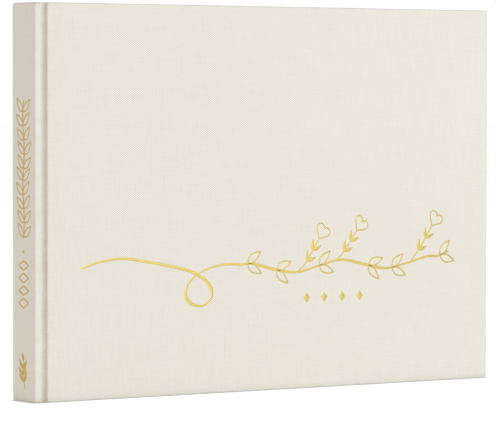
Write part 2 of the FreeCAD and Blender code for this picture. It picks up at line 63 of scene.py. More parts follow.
towards_camera = Vector((np.sin(VIEW_AZIMUTH) * np.cos(VIEW_ELEVATION),
                         -np.cos(VIEW_AZIMUTH) * np.cos(VIEW_ELEVATION),
                         np.sin(VIEW_ELEVATION)))
lens = bpy.data.cameras.new("view")
lens.sensor_width = 36.0
lens.lens = 258.5
lens.clip_start = 0.05
lens.clip_end = 60.0
camera = bpy.data.objects.new("view", lens)
camera.location = LOOK_AT + VIEW_DISTANCE * towards_camera
facing = (-towards_camera).to_track_quat("-Z", "Y")
camera.rotation_mode = "QUATERNION"
camera.rotation_quaternion = facing @ Quaternion((0, 0, 1), VIEW_ROLL)
bpy.context.scene.collection.objects.link(camera)
bpy.context.scene.camera = camera
bpy.context.scene.view_settings.view_transform = "Standard"


# ---------------------------------------------------------------------------------------------
# Studio. A white sheet of paper glows evenly under the book, and a painted shadow dims its glow
# close to the book. Round it stands a white surround that is brighter overhead, with a broad soft
# lamp before the front cover and two weaker ones behind the book.

def fill_inputs(tree, made, ins):
    """Gives each input a number or colour, or joins it to another node's output."""
    for key, value in ins.items():
        if isinstance(value, bpy.types.NodeSocket):
            tree.links.new(value, made.inputs[key])
        else:
            made.inputs[key].default_value = value


def add_node(tree, kind, ins=None, **settings):
    """Adds a shader node. Each setting is one of its attributes, and ins are its inputs."""
    made = tree.nodes.new("ShaderNode" + kind)
    for key, value in settings.items():
        setattr(made, key, value)
    fill_inputs(tree, made, ins or {})
    return made


def noise(tree, place, scale, detail):
    """Soft random values between 0 and 1, in spots about 1 / scale wide."""
    made = add_node(tree, "TexNoise", {"Vector": place, "Scale": scale, "Detail": detail})
    return made.outputs["Fac"]


def vector_step(tree, operation, *vectors):
    """One step of vector arithmetic."""
    return add_node(tree, "VectorMath", dict(enumerate(vectors)), operation=operation).outputs


def lamp(name, place, aim, size, power, colour):
    """A square soft lamp at a place, turned to face its aim."""
    light = bpy.data.lights.new(name, "AREA")
    light.shape = "SQUARE"
    light.size = size
    light.energy = power
    light.color = colour
    made = bpy.data.objects.new(name, light)
    made.location = place
    made.rotation_euler = (Vector(aim) - Vector(place)).to_track_quat("-Z", "Y").to_euler()
    bpy.context.scene.collection.objects.link(made)
    return made


SURROUND_LOW = 0.32
SURROUND_RISE = 0.34

surround = bpy.data.worlds.new("surround")
surround.use_nodes = True
bpy.context.scene.world = surround
sky = surround.node_tree
sky.nodes.clear()
direction = add_node(sky, "SeparateXYZ", {0: add_node(sky, "TexCoord").outputs["Generated"]})
brightness = add_node(sky, "MapRange", {"Value": direction.outputs["Z"], "To Min": SURROUND_LOW,
                                        "To Max": SURROUND_LOW + SURROUND_RISE})
seen = add_node(sky, "Background", {"Color": (1, 1, 1, 1), "Strength": 1.0})
given = add_node(sky, "Background", {"Color": (1, 1, 1, 1), "Strength": brightness.outputs[0]})
ray = add_node(sky, "LightPath")
both = add_node(sky, "MixShader", {0: ray.outputs["Is Camera Ray"], 1: given.outputs[0],
                                   2: seen.outputs[0]})
add_node(sky, "OutputWorld", {"Surface": both.outputs[0]})

lamp("front_lamp", (0.42, -1.32, 0.12), (0.06, 0, 0.06), 0.8, 13.4, (0.68, 0.84, 1.0))
lamp("rear_lamp", (-0.5, 1.5, 0.6), (0, 0, 0.08), 0.9, 6.4, (0.72, 0.86, 1.0))
lamp("back_lamp", (0.6, 1.4, 0.4), (0, 0, 0.08), 0.9, 8.0, (0.70, 0.85, 1.0))

FLOOR_GLOW = 0.66
PAINTED_SHADOW_GLOW = 0.2
PAINTED_SHADOW_REACH = 0.003
FOOTPRINT = (0.12, 0.009, 0)
floor_paper = bpy.data.materials.new("floor_paper")
floor_paper.use_nodes = True
floor_tree = floor_paper.node_tree
floor_tree.nodes.clear()
floor_place = add_node(floor_tree, "TexCoord").outputs["Object"]
floor_tone = add_node(floor_tree, "MapRange", {"Value": noise(floor_tree, floor_place, 3.0, 2.0),
                                               "To Min": 0.58, "To Max": 0.60})
# The distance to the book's footprint is the length of max(|place| - half its size, 0).
from_middle = vector_step(floor_tree, "ABSOLUTE", floor_place)[0]
beyond = vector_step(floor_tree, "SUBTRACT", from_middle, FOOTPRINT)[0]
beyond = vector_step(floor_tree, "MAXIMUM", beyond)[0]
distance = vector_step(floor_tree, "LENGTH", beyond)["Value"]
# Painted shadow: the floor's glow drops from its full value to a low one within a few millimetres of the
# book's footprint.
floor_glow_with_painted_shadow = add_node(floor_tree, "MapRange", {"Value": distance, "From Max": PAINTED_SHADOW_REACH,
                                               "To Min": PAINTED_SHADOW_GLOW, "To Max": FLOOR_GLOW},
                      interpolation_type="SMOOTHSTEP")
floor_shader = add_node(floor_tree, "BsdfPrincipled",
                        {"Base Color": floor_tone.outputs[0], "Roughness": 0.9,
                         "Specular IOR Level": 0.0, "Emission Color": (1, 1, 1, 1),
                         "Emission Strength": floor_glow_with_painted_shadow.outputs[0]})
add_node(floor_tree, "OutputMaterial", {"Surface": floor_shader.outputs[0]})

FLOOR_REACH = 12.0
FLOOR_DROP = 0.00002
floor_corners = [(x * FLOOR_REACH, y * FLOOR_REACH, -FLOOR_DROP)
                 for x, y in ((-1, -1), (1, -1), (1, 1), (-1, 1))]
floor_mesh = bpy.data.meshes.new("floor")
floor_mesh.from_pydata(floor_corners, [], [(0, 1, 2, 3)])
floor_mesh.materials.append(floor_paper)
floor = bpy.data.objects.new("floor", floor_mesh)
bpy.context.scene.collection.objects.link(floor)


# ---------------------------------------------------------------------------------------------
# Covers. Each board is wrapped in ivory book cloth, a plain weave of cotton on thin paper. It is
# glued over the outer face, drawn round the edges, and turned in 15 mm on the inside at head, tail
# and fore-edge. The groove side has no turn-in, since the cloth runs on into the groove there.

CLOTH = 0.0004
COVER_LOW, COVER_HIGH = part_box("front_cover_cloth")
SPINE_LOW, SPINE_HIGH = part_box("spine_cloth")
OUTER_FACE = SPINE_HIGH.y
HEIGHT = COVER_HIGH.z
COVER_DEPTH = COVER_HIGH.y - COVER_LOW.y
COVER_WIDTH = COVER_HIGH.x - COVER_LOW.x
TURN_IN = 0.015
FACE_INSET = 0.014
FRONT, BACK = -1, 1
SIDES = (("front", FRONT), ("back", BACK))
EDGE_ROUNDING = 0.00055
BOARD_CORNER = 0.0011
MERGE = 1e-6


def join_patches(name, patches, sharp=40.0):
    """One mesh from several grids. A patch is its points, rows by columns by 3, the flat cloth's
    place of each, rows by columns by 2, and its share of wear and painted highlight, rows by columns.
    Four neighbours make a face, points that meet are merged, and the faces are turned outwards."""
    places, corners, flats, wear_and_highlight_values, start = [], [], [], [], 0
    for points, flat, wear_and_highlight in patches:
        rows, columns = points.shape[:2]
        index = np.arange(rows * columns).reshape(rows, columns)
        quads = np.stack((index[:-1, :-1], index[:-1, 1:], index[1:, 1:], index[1:, :-1]), axis=-1)
        quads = quads.reshape(-1, 4)
        places.append(points.reshape(-1, 3))
        wear_and_highlight_values.append(np.broadcast_to(wear_and_highlight, (rows, columns)).ravel())
        flats.append(flat.reshape(-1, 2)[quads].reshape(-1, 2))
        corners.append(quads + start)
        start += rows * columns
    mesh = bpy.data.meshes.new(name)
    mesh.from_pydata(np.concatenate(places).tolist(), [], np.concatenate(corners).tolist())
    mesh.uv_layers.new(name="flat").data.foreach_set("uv", np.concatenate(flats).ravel())
    mesh.attributes.new("wear_and_highlight", "FLOAT", "POINT").data.foreach_set("value", np.concatenate(wear_and_highlight_values))
    work = bmesh.new()
    work.from_mesh(mesh)
    bmesh.ops.remove_doubles(work, verts=work.verts, dist=MERGE)
    bmesh.ops.recalc_face_normals(work, faces=work.faces)
    work.to_mesh(mesh)
    work.free()
    mesh.shade_smooth()
    mesh.set_sharp_from_angle(angle=np.radians(sharp))
    return mesh


def add_piece(mesh, material):
    """A piece of the book with its material."""
    made = bpy.data.objects.new(mesh.name, mesh)
    bpy.context.scene.collection.objects.link(made)
    mesh.materials.append(material)
    return made


def ring(width, height, insets, radius, per_side=14, per_corner=6):
    """Points round rounded rectangles, one rectangle a row, set in from the sheet's four sides. A
    corner point is the arc's centre plus radius times (cos a, sin a), and a side's points divide
    the run between two arcs evenly. The first point is given again at the end."""
    left, right, bottom, top = insets
    east, north = width - right, height - top
    quarter = np.linspace(0, np.pi / 2, per_corner)
    middles = ((left + radius, bottom + radius, np.pi), (east - radius, bottom + radius, 1.5 * np.pi),
               (east - radius, north - radius, 0.0), (left + radius, north - radius, 0.5 * np.pi))
    arcs = [np.stack((across[:, None] + radius[:, None] * np.cos(begin + quarter),
                      up[:, None] + radius[:, None] * np.sin(begin + quarter)), axis=-1)
            for across, up, begin in middles]
    share = np.linspace(0, 1, per_side + 2)[1:-1, None]
    runs = []
    for arc, following in zip(arcs, arcs[1:] + arcs[:1]):
        runs += [arc, arc[:, -1:] * (1 - share) + following[:, :1] * share]
    closed = np.concatenate(runs, axis=1)
    return np.concatenate((closed, closed[:, :1]), axis=1)


def wrapped_cloth(width, height, depth, middle, turn_ins, rounding, corner, per_side=14):
    """The patches of a cloth wrapped round a board, as (across, up, deep). The profile runs from
    the middle of the outer face over a quarter circle, down the edge, over a second quarter circle,
    along the turn-in and back along the glued side one cloth thickness further in. Each step of the
    profile is a rounded rectangle, set in by its share of middle, its share of turn_ins, plus a."""
    turn = np.linspace(0, np.pi / 2, 6)
    wall = depth - 2 * rounding
    arc = rounding * np.pi / 2
    steps = [(f, 0, rounding, 0, rounding, 0) for f in (1, 0.6, 0.3, 0.1, 0.03)]
    # Steps whose last number is 1 go round the board's edges, where the cloth takes the lighter colour
    # of wear and painted highlight.
    steps += [(0, 0, rounding * (1 - np.sin(a)), rounding * (1 - np.cos(a)),
               rounding * (1 - a), 1) for a in turn]
    steps += [(0, 0, rounding * (1 - np.cos(a)), depth - rounding * (1 - np.sin(a)),
               rounding - arc - wall - rounding * a, 1) for a in turn]
    end = rounding - 2 * arc - wall
    steps += [(0, -g, rounding, depth, end, 0) for g in (0.02, 0.3, 0.6, 0.99, 1)]
    steps += [(0, -1, rounding, depth - CLOTH, end, 0), (0, -0.02, CLOTH, depth - CLOTH, end, 0),
              (0, 0, CLOTH, depth - CLOTH, end, 0), (0, 0, CLOTH, CLOTH, rounding, 0)]
    steps += [(f, 0, CLOTH, CLOTH, rounding, 0) for f in (0.03, 0.3, 1)]
    f, g, a, deep, unrolled, wear_and_highlight = np.array(steps).T
    middle, turn_ins = np.array(middle)[:, None], np.array(turn_ins)[:, None]
    insets = f * middle - g * turn_ins + a
    radius = np.clip(corner - a - f * middle.min() + g * turn_ins.max(), 0, None)
    flat_insets = f * middle + g * turn_ins + unrolled
    flat_radius = np.clip(corner - unrolled - f * middle.min() - g * turn_ins.max(), 0, None)
    edge = ring(width, height, insets, radius, per_side)
    flat = ring(width, height, flat_insets, flat_radius, per_side)
    deep = np.broadcast_to(deep[:, None, None], edge.shape[:2] + (1,))
    patches = [(np.concatenate((edge, deep), axis=-1), flat, wear_and_highlight[:, None])]
    for row in (0, -1):
        left, right, bottom, top = insets[:, row]
        grid = np.meshgrid(np.linspace(left, width - right, per_side + 2),
                           np.linspace(bottom, height - top, per_side + 2))
        plan = np.stack(grid, axis=-1)
        level = np.full(plan.shape[:2] + (1,), deep[row, 0, 0])
        patches.append((np.concatenate((plan, level), axis=-1), plan, 0.0))
    return patches


def new_group(name, inputs, outputs):
    """A shader node group with its sockets. Returns its tree, the inputs' sockets and the outputs'."""
    tree = bpy.data.node_groups.new(name, "ShaderNodeTree")
    for label, kind, value in inputs:
        socket = tree.interface.new_socket(label, in_out="INPUT", socket_type="NodeSocket" + kind)
        if value is not None:
            socket.default_value = value
    for label, kind in outputs:
        tree.interface.new_socket(label, in_out="OUTPUT", socket_type="NodeSocket" + kind)
    return tree, tree.nodes.new("NodeGroupInput").outputs, tree.nodes.new("NodeGroupOutput").inputs


def add_group(tree, group, ins):
    """Places a node group in a material with its own values."""
    made = tree.nodes.new("ShaderNodeGroup")
    made.node_tree = group
    fill_inputs(tree, made, ins)
    return made.outputs


def calc(tree, operation, *values):
    """One step of arithmetic on numbers or other nodes' outputs."""
    return add_node(tree, "Math", dict(enumerate(values)), operation=operation).outputs[0]


def scaled(tree, vector, factor):
    """A colour or a vector times a factor."""
    return add_node(tree, "VectorMath", {0: vector, "Scale": factor}, operation="SCALE").outputs[0]


def relief(tree, height, strength, distance):
    """The normals of a surface that stands up by height times distance."""
    return add_node(tree, "Bump", {"Height": height, "Strength": strength,
                                   "Distance": distance}).outputs[0]


def new_material(name):
    """An empty material and its node tree."""
    material = bpy.data.materials.new(name)
    material.use_nodes = True
    material.node_tree.nodes.clear()
    return material, material.node_tree


def finish_material(tree, ins):
    """The Principled shader of a material and its output."""
    shader = add_node(tree, "BsdfPrincipled", ins)
    add_node(tree, "OutputMaterial", {"Surface": shader.outputs[0]})


# A plain weave. With u and v counting warp and weft threads, p = sin(pi u) sin(pi v) is positive
# where the warp lies on top, and the surface stands at the higher of (|sin pi u| + p) / 2 and
# (|sin pi v| - p) / 2. Slow noise makes the threads wander and thicken.
weave, weave_in, weave_out = new_group(
    "plain_weave",
    (("Flat", "Vector", None), ("Warp Pitch", "Float", 0.0007), ("Weft Pitch", "Float", 0.0005),
     ("Wander", "Float", 0.1)),
    (("Height", "Float"), ("Crossing", "Float"), ("Slub", "Float")))
drift = add_node(weave, "TexNoise", {"Vector": weave_in["Flat"], "Scale": 140.0, "Detail": 2.0})
drifted = vector_step(weave, "SUBTRACT", drift.outputs["Color"], (0.5, 0.5, 0.5))[0]
amount = calc(weave, "MULTIPLY", weave_in["Wander"], weave_in["Weft Pitch"])
shift = scaled(weave, drifted, amount)
moved = vector_step(weave, "ADD", weave_in["Flat"], shift)[0]
split = add_node(weave, "SeparateXYZ", {0: moved})
counts = [calc(weave, "DIVIDE", split.outputs[axis], weave_in[pitch])
          for axis, pitch in ((0, "Warp Pitch"), (1, "Weft Pitch"))]
waves = [calc(weave, "SINE", calc(weave, "MULTIPLY", count, np.pi)) for count in counts]
over = calc(weave, "MULTIPLY", *waves)
warp = calc(weave, "ADD", calc(weave, "ABSOLUTE", waves[0]), over)
weft = calc(weave, "SUBTRACT", calc(weave, "ABSOLUTE", waves[1]), over)
weave.links.new(calc(weave, "MULTIPLY", calc(weave, "MAXIMUM", warp, weft), 0.5), weave_out["Height"])
weave.links.new(calc(weave, "MULTIPLY_ADD", over, 0.5, 0.5), weave_out["Crossing"])
threads = add_node(weave, "CombineXYZ", {0: counts[0], 1: counts[1]}).outputs[0]
slubs = [noise(weave, vector_step(weave, "MULTIPLY", threads, stretch)[0], 1.0, 1.0)
         for stretch in ((0.9, 0.035, 1.0), (0.045, 0.9, 1.0))]
weave.links.new(calc(weave, "MULTIPLY", calc(weave, "ADD", *slubs), 0.5), weave_out["Slub"])

# Edges lighter from wear and a painted highlight. The mask is the piece's own value, broken up by noise.
wear_and_highlight_group, wear_and_highlight_in, wear_and_highlight_out = new_group("worn_and_highlit_edges", (("Place", "Vector", None), ("Strength", "Float", 0.5)),
                                 (("Mask", "Float"),))
wear_and_highlight_value = add_node(wear_and_highlight_group, "Attribute", attribute_name="wear_and_highlight")
broken = add_node(wear_and_highlight_group, "MapRange", {"Value": noise(wear_and_highlight_group, wear_and_highlight_in["Place"], 260.0, 4.0),
                                    "From Min": 0.35, "From Max": 0.7})
patchy = calc(wear_and_highlight_group, "MULTIPLY", wear_and_highlight_value.outputs["Fac"], broken.outputs[0])
wear_and_highlight_group.links.new(calc(wear_and_highlight_group, "MULTIPLY", patchy, wear_and_highlight_in["Strength"]), wear_and_highlight_out["Mask"])

WARP_PITCH = 0.00067
WEFT_PITCH = 0.000469
CLOTH_COLOUR = (0.794, 0.707, 0.595)
# A lighter, paler cloth colour for worn edges and for the painted highlight on them.
WORN_AND_HIGHLIT_COLOUR = (0.83, 0.765, 0.675)



def cloth_weave(tree):
    """The book cloth's own threads, which run on under the foil."""
    flat_place = add_node(tree, "UVMap", uv_map="flat").outputs[0]
    return add_group(tree, weave, {"Flat": flat_place, "Warp Pitch": WARP_PITCH,
                                   "Weft Pitch": WEFT_PITCH, "Wander": 0.35})


book_cloth, tree = new_material("ivory_book_cloth")
woven = cloth_weave(tree)
object_place = add_node(tree, "TexCoord").outputs["Object"]
# Painted highlight and wear: the cloth turns lighter round the edges, most plainly on the spine's
# ridges, and in the grooves.
wear_and_highlight_mask = add_group(tree, wear_and_highlight_group, {"Place": object_place, "Strength": 0.8})["Mask"]
clouds = noise(tree, object_place, 22.0, 3.0)
# Painted sheen: cells where the warp lies on top are lighter than the weft's, a difference light and
# sheen make on real cloth; slubs and slow noise add the threads' own tone.
tone = calc(tree, "MULTIPLY_ADD", woven["Crossing"], 0.34, 0.83)
tone = calc(tree, "ADD", tone, calc(tree, "MULTIPLY_ADD", woven["Slub"], 0.14, -0.07))
tone = calc(tree, "ADD", tone, calc(tree, "MULTIPLY_ADD", clouds, 0.04, -0.02))
worn_and_highlit = add_node(tree, "Mix", {"Factor": wear_and_highlight_mask, "A": CLOTH_COLOUR + (1,),
                              "B": WORN_AND_HIGHLIT_COLOUR + (1,)}, data_type="RGBA")
rough = calc(tree, "MULTIPLY_ADD", woven["Height"], -0.10, 0.80)
finish_material(tree, {"Base Color": scaled(tree, worn_and_highlit.outputs["Result"], tone), "Roughness": rough,
                       "Normal": relief(tree, woven["Height"], 0.6, 0.00006),
                       "Specular IOR Level": 0.3, "Sheen Weight": 0.12, "Sheen Roughness": 0.5})

for word, side in SIDES:
    turned = []
    for points, flat, wear_and_highlight in wrapped_cloth(COVER_WIDTH, HEIGHT, COVER_DEPTH, (FACE_INSET,) * 4,
                                              (0, TURN_IN, TURN_IN, TURN_IN), EDGE_ROUNDING,
                                              BOARD_CORNER):
        across, up, deep = np.moveaxis(points, -1, 0)
        placed = np.stack((COVER_LOW.x + across, side * (OUTER_FACE - deep), up), axis=-1)
        turned.append((placed, flat + (COVER_LOW.x - SPINE_LOW.x, 0), wear_and_highlight))
    cloth = add_piece(join_patches(f"{word}_cloth", turned), book_cloth)
    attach(cloth, f"{word}_cover")
    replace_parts(cloth, f"{word}_cover_cloth")


# ---------------------------------------------------------------------------------------------
# Spine. The same cloth over a stiff spine board that is as thick as the ridges are wide. It goes
# round both long edges of that board, and is turned in at head and tail. A hollow lies behind it.

SPINE_ROUNDING = 0.0007
SPINE_CORNER = 0.0013
SPINE_INSET = 0.006
SPINE_DEPTH = SPINE_HIGH.x - SPINE_LOW.x

turned = []
for points, flat, wear_and_highlight in wrapped_cloth(2 * OUTER_FACE, HEIGHT, SPINE_DEPTH,
                                          (SPINE_INSET, SPINE_INSET, FACE_INSET, FACE_INSET),
                                          (0, 0, TURN_IN, TURN_IN),
                                          SPINE_ROUNDING, SPINE_CORNER):
    across, up, deep = np.moveaxis(points, -1, 0)
    placed = np.stack((SPINE_LOW.x + deep, OUTER_FACE - across, up), axis=-1)
    turned.append((placed, flat - (2 * OUTER_FACE, 0), wear_and_highlight))
spine = add_piece(join_patches("spine_wrap", turned), book_cloth)
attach(spine, "text_block")
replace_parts(spine, "spine_cloth")


# ---------------------------------------------------------------------------------------------
# Joints. Between spine and board the cloth has nothing under it. It is pressed down into a round
# groove with a hot rod, and is the hinge of the cover. At head and tail it is folded in as well.

GROOVE_TOP = 0.0006
GROOVE_FLOOR = 0.0024
GROOVE_TUCK = 0.00005
# Painted light: the whole groove strip takes the lighter, paler colour of the edges, standing in for
# light that falls into the groove.
GROOVE_PAINTED_LIGHT = 1.0
# The two ends of the joint's bend, as distances from the spine's face, the same at every height.
# Points there are worked out below, and not used.
GROOVE_BEND = (0.0033, 0.0059)
GROOVE_BEND_DEEP = 0.002
BEND_UP = 0.08


def unrolled(run, up):
    """The flat sheet's place of each point of a grid, from its run along the sheet and its height."""
    return np.stack(np.broadcast_arrays(run, up), axis=-1)


def sheet_patches(face, back, flat):
    """The patches of a thin closed sheet: its two faces, given as grids of the same size, and four
    strips that join their edges."""
    patches = [(face, flat, 0.0), (back, flat, 0.0)]
    for take in (np.s_[:1], np.s_[-1:]):
        edge = np.concatenate((face[take], back[take]), axis=0)
        patches.append((edge, np.concatenate((flat[take], flat[take]), axis=0), 0.0))
        edge = np.concatenate((face[:, take], back[:, take]), axis=1)
        patches.append((edge, np.concatenate((flat[:, take], flat[:, take]), axis=1), 0.0))
    return patches


def at(along, deep, up, side):
    """Points of the book from their distance from the spine's face, their depth below the outer
    face of the front or back cover, and their height."""
    along, deep, up = np.broadcast_arrays(along, deep, up)
    return np.stack((SPINE_LOW.x + along, side * (OUTER_FACE - deep), up), axis=-1)


def side_of(along, deep):
    """Unit vectors that point to the right-hand side of a path drawn in (along, deep)."""
    step = np.gradient(np.stack((along, deep)), axis=1)
    step /= np.linalg.norm(step, axis=0)
    return -step[1], step[0]


def folded_hem(height, thickness, turn_in):
    """The up and inward places round a strip whose ends are folded over onto its inside: out along
    the face, round a half circle at the head, back in two thicknesses and then one."""
    arc = np.linspace(-np.pi / 2, np.pi / 2, 9)
    head_up = height - thickness + thickness * np.cos(arc)
    head_in = thickness + thickness * np.sin(arc)
    lower, upper = turn_in, height - turn_in
    rise = np.linspace(thickness * 1.5, height - thickness * 1.5, 28)
    rise = np.sort(np.concatenate((rise, (lower, lower, upper, upper))))
    inner_in = np.where((rise > lower) & (rise < upper), thickness, 2 * thickness)
    inner_in[np.flatnonzero(rise == lower)[1]] = thickness
    inner_in[np.flatnonzero(rise == upper)[0]] = thickness
    up = np.concatenate((rise, head_up, rise[::-1], height - head_up))
    inward = np.concatenate((0 * rise, head_in, inner_in[::-1], head_in[::-1]))
    return np.append(up, up[0]), np.append(inward, inward[0])


turn = np.linspace(0, np.pi, 25)
groove_start, groove_end = SPINE_DEPTH - GROOVE_TUCK, COVER_LOW.x - SPINE_LOW.x + GROOVE_TUCK
groove_along = (groove_start + groove_end) / 2 - (groove_end - groove_start) / 2 * np.cos(turn)
groove_deep = GROOVE_TOP + (GROOVE_FLOOR - GROOVE_TOP) * np.sin(turn) ** 0.7
hem_up, hem_in = folded_hem(HEIGHT, CLOTH, TURN_IN)
inward_along, inward_deep = side_of(groove_along, groove_deep)
run = np.hypot(np.gradient(groove_along), np.gradient(groove_deep)).cumsum()
run = np.concatenate((run[:1], run, run[-1:]))
flat = unrolled(run[:, None] + SPINE_DEPTH, hem_up)
for word, side in SIDES:
    points, middle = (at(groove_along[:, None] + inward_along[:, None] * inside,
                         groove_deep[:, None] + inward_deep[:, None] * inside, hem_up, side)
                      for inside in (hem_in, CLOTH))
    points = np.concatenate((middle[:1], points, middle[-1:]))
    joint = add_piece(join_patches(f"{word}_groove", [(points, flat, GROOVE_PAINTED_LIGHT)]), book_cloth)
    start, end = (tuple(at(along, GROOVE_BEND_DEEP, BEND_UP, side)) for along in GROOVE_BEND)
    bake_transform(joint)
    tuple(start)
    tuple(end)
    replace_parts(joint, f"{word}_joint_cloth")


# ---------------------------------------------------------------------------------------------
# Boards. Grey binder's board, 2.5 mm in the covers and 2.3 mm in the spine, pressed from waste
# paper, so it is flecked and its cut edges show layers. The cloth is glued on all over it.

# Paper and board. Flecks are the spots of a cell pattern that noise leaves, and the grain is
# noise in two sizes.
fibres, fibres_in, fibres_out = new_group(
    "paper_fibres",
    (("Place", "Vector", None), ("Grain Scale", "Float", 900.0), ("Fleck Scale", "Float", 700.0),
     ("Fleck Share", "Float", 0.2)),
    (("Grain", "Float"), ("Fleck", "Float"), ("Cloud", "Float")))
grain = add_node(fibres, "TexNoise", {"Vector": fibres_in["Place"], "Scale": fibres_in["Grain Scale"],
                                      "Detail": 6.0, "Roughness": 0.65})
cells = add_node(fibres, "TexVoronoi", {"Vector": fibres_in["Place"], "Scale": fibres_in["Fleck Scale"]})
cell_value = add_node(fibres, "SeparateColor", {0: cells.outputs["Color"]})
chosen = calc(fibres, "LESS_THAN", cell_value.outputs[0], fibres_in["Fleck Share"])
spot = add_node(fibres, "MapRange", {"Value": cells.outputs["Distance"], "From Min": 0.15,
                                     "From Max": 0.45, "To Min": 1.0, "To Max": 0.0})
fibres.links.new(grain.outputs["Fac"], fibres_out["Grain"])
fibres.links.new(calc(fibres, "MULTIPLY", chosen, spot.outputs[0]), fibres_out["Fleck"])
fibres.links.new(noise(fibres, fibres_in["Place"], 30.0, 4.0), fibres_out["Cloud"])


def paper_material(name, colour, fleck_colour, grain_scale, fleck_scale, fleck_share, grain_depth,
                   roughness, stretch=(1, 1, 1)):
    """Paper or board: a colour that varies with the grain, with flecks, and a fine relief."""
    material, tree = new_material(name)
    place = add_node(tree, "TexCoord").outputs["Object"]
    place = add_node(tree, "Mapping", {"Vector": place, "Scale": stretch}).outputs[0]
    made = add_group(tree, fibres, {"Place": place, "Grain Scale": grain_scale,
                                    "Fleck Scale": fleck_scale, "Fleck Share": fleck_share})
    tone = calc(tree, "MULTIPLY_ADD", made["Grain"], 0.10, 0.95)
    tone = calc(tree, "ADD", tone, calc(tree, "MULTIPLY_ADD", made["Cloud"], 0.05, -0.025))
    flecked = add_node(tree, "Mix", {"Factor": made["Fleck"], "A": colour + (1,),
                                     "B": fleck_colour + (1,)}, data_type="RGBA")
    rough = calc(tree, "MULTIPLY_ADD", made["Grain"], 0.15, roughness - 0.07)
    finish_material(tree, {"Base Color": scaled(tree, flecked.outputs["Result"], tone),
                           "Roughness": rough, "Normal": relief(tree, made["Grain"], 0.5, grain_depth),
                           "Specular IOR Level": 0.25})
    return material


def give(material, slot, *names):
    """Gives CAD nodes their material. The slot is not used."""
    for name in names:
        nodes[name].data.materials.clear()
        nodes[name].data.materials.append(material)


greyboard = paper_material("grey_board", (0.38, 0.355, 0.315), (0.17, 0.155, 0.14),
                           grain_scale=1100.0, fleck_scale=900.0, fleck_share=0.22,
                           grain_depth=0.00012, roughness=0.9)
give(greyboard, "greyboard", "front_board", "back_board", "spine_board")


# ---------------------------------------------------------------------------------------------
# Mull and lining. Open cotton gauze is glued over the sewn back, and its flaps run across the
# joints onto the boards, under the pastedowns. A strip of brown paper lines the back over it.

MULL_PITCH = 0.0011
MULL_THICK = 0.0003
MULL_LIES = 0.9 * MULL_THICK
FLAT_FROM = 0.0065
MULL_BEND = (0.0043, 0.0064)
MULL_BEND_DEEP = 0.003

gauze, tree = new_material("mull_gauze")
place = add_node(tree, "TexCoord").outputs["Object"]
split = add_node(tree, "SeparateXYZ", {0: place})
across_mull = calc(tree, "ADD", split.outputs[0], split.outputs[1])
threads = add_node(tree, "CombineXYZ", {0: across_mull, 1: split.outputs[2]})
open_weave = add_group(tree, weave, {"Flat": threads.outputs[0], "Warp Pitch": MULL_PITCH,
                                     "Weft Pitch": MULL_PITCH, "Wander": 0.4})
holes = add_node(tree, "MapRange", {"Value": open_weave["Height"], "From Min": 0.28, "From Max": 0.36})
tone = calc(tree, "MULTIPLY_ADD", open_weave["Slub"], 0.3, 0.85)
finish_material(tree, {"Base Color": scaled(tree, (0.78, 0.74, 0.64), tone),
                       "Alpha": holes.outputs[0], "Roughness": 0.9,
                       "Normal": relief(tree, open_weave["Height"], 0.7, 0.0001)})
give(gauze, "mull", "spine_mull")

kraft = paper_material("kraft_paper", (0.50, 0.33, 0.18), (0.32, 0.20, 0.10),
                       grain_scale=1500.0, fleck_scale=1300.0, fleck_share=0.15,
                       grain_depth=0.00004, roughness=0.8, stretch=(1, 1, 0.25))
give(kraft, "kraft_paper", "spine_lining_paper")

MULL_DEEP = OUTER_FACE - abs(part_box("front_mull_flap")[0].y)
MULL_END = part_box("front_mull_flap")[1].x - SPINE_LOW.x
MULL_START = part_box("spine_mull")[0].x - SPINE_LOW.x
BLOCK_DEEP = OUTER_FACE - abs(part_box("signature_01_fold")[0].y)


def swept_sheet(along, deep, up, thickness, side):
    """The patches of a sheet whose section, seen from its end, is a path in (along, deep): the
    path's points moved half the thickness to each side of it, and carried along up."""
    right_along, right_deep = side_of(along, deep)
    faces = [at((along + way * thickness / 2 * right_along)[:, None],
                (deep + way * thickness / 2 * right_deep)[:, None], up, side) for way in (-1, 1)]
    run = np.hypot(np.gradient(along), np.gradient(deep)).cumsum()
    return sheet_patches(*faces, unrolled(run[:, None], up))


def rounded_path(corners, radii, per_corner=7):
    """A path through corners in (along, deep), with each inner corner replaced by a quadratic curve
    (1 - t)^2 a + 2 t (1 - t) corner + t^2 b whose ends a and b lie its radius away."""
    corners = np.array(corners, float)
    t = np.linspace(0, 1, per_corner)[:, None]
    pieces = [corners[:1]]
    for before, corner, after, radius in zip(corners, corners[1:], corners[2:], radii):
        a = corner + (before - corner) / np.linalg.norm(before - corner) * radius
        b = corner + (after - corner) / np.linalg.norm(after - corner) * radius
        pieces.append((1 - t) ** 2 * a + 2 * t * (1 - t) * corner + t ** 2 * b)
    pieces.append(corners[-1:])
    return np.concatenate(pieces).T


def refined(along, deep, longest):
    """The same path with its long runs divided evenly."""
    run = np.concatenate(([0], np.hypot(np.diff(along), np.diff(deep)).cumsum()))
    extra = np.linspace(0, run[-1], int(run[-1] / longest) + 2)
    stops = np.unique(np.concatenate((run, extra)))
    stops = stops[np.concatenate(([True], np.diff(stops) > longest * 0.15))]
    return np.interp(stops, run, along), np.interp(stops, run, deep)


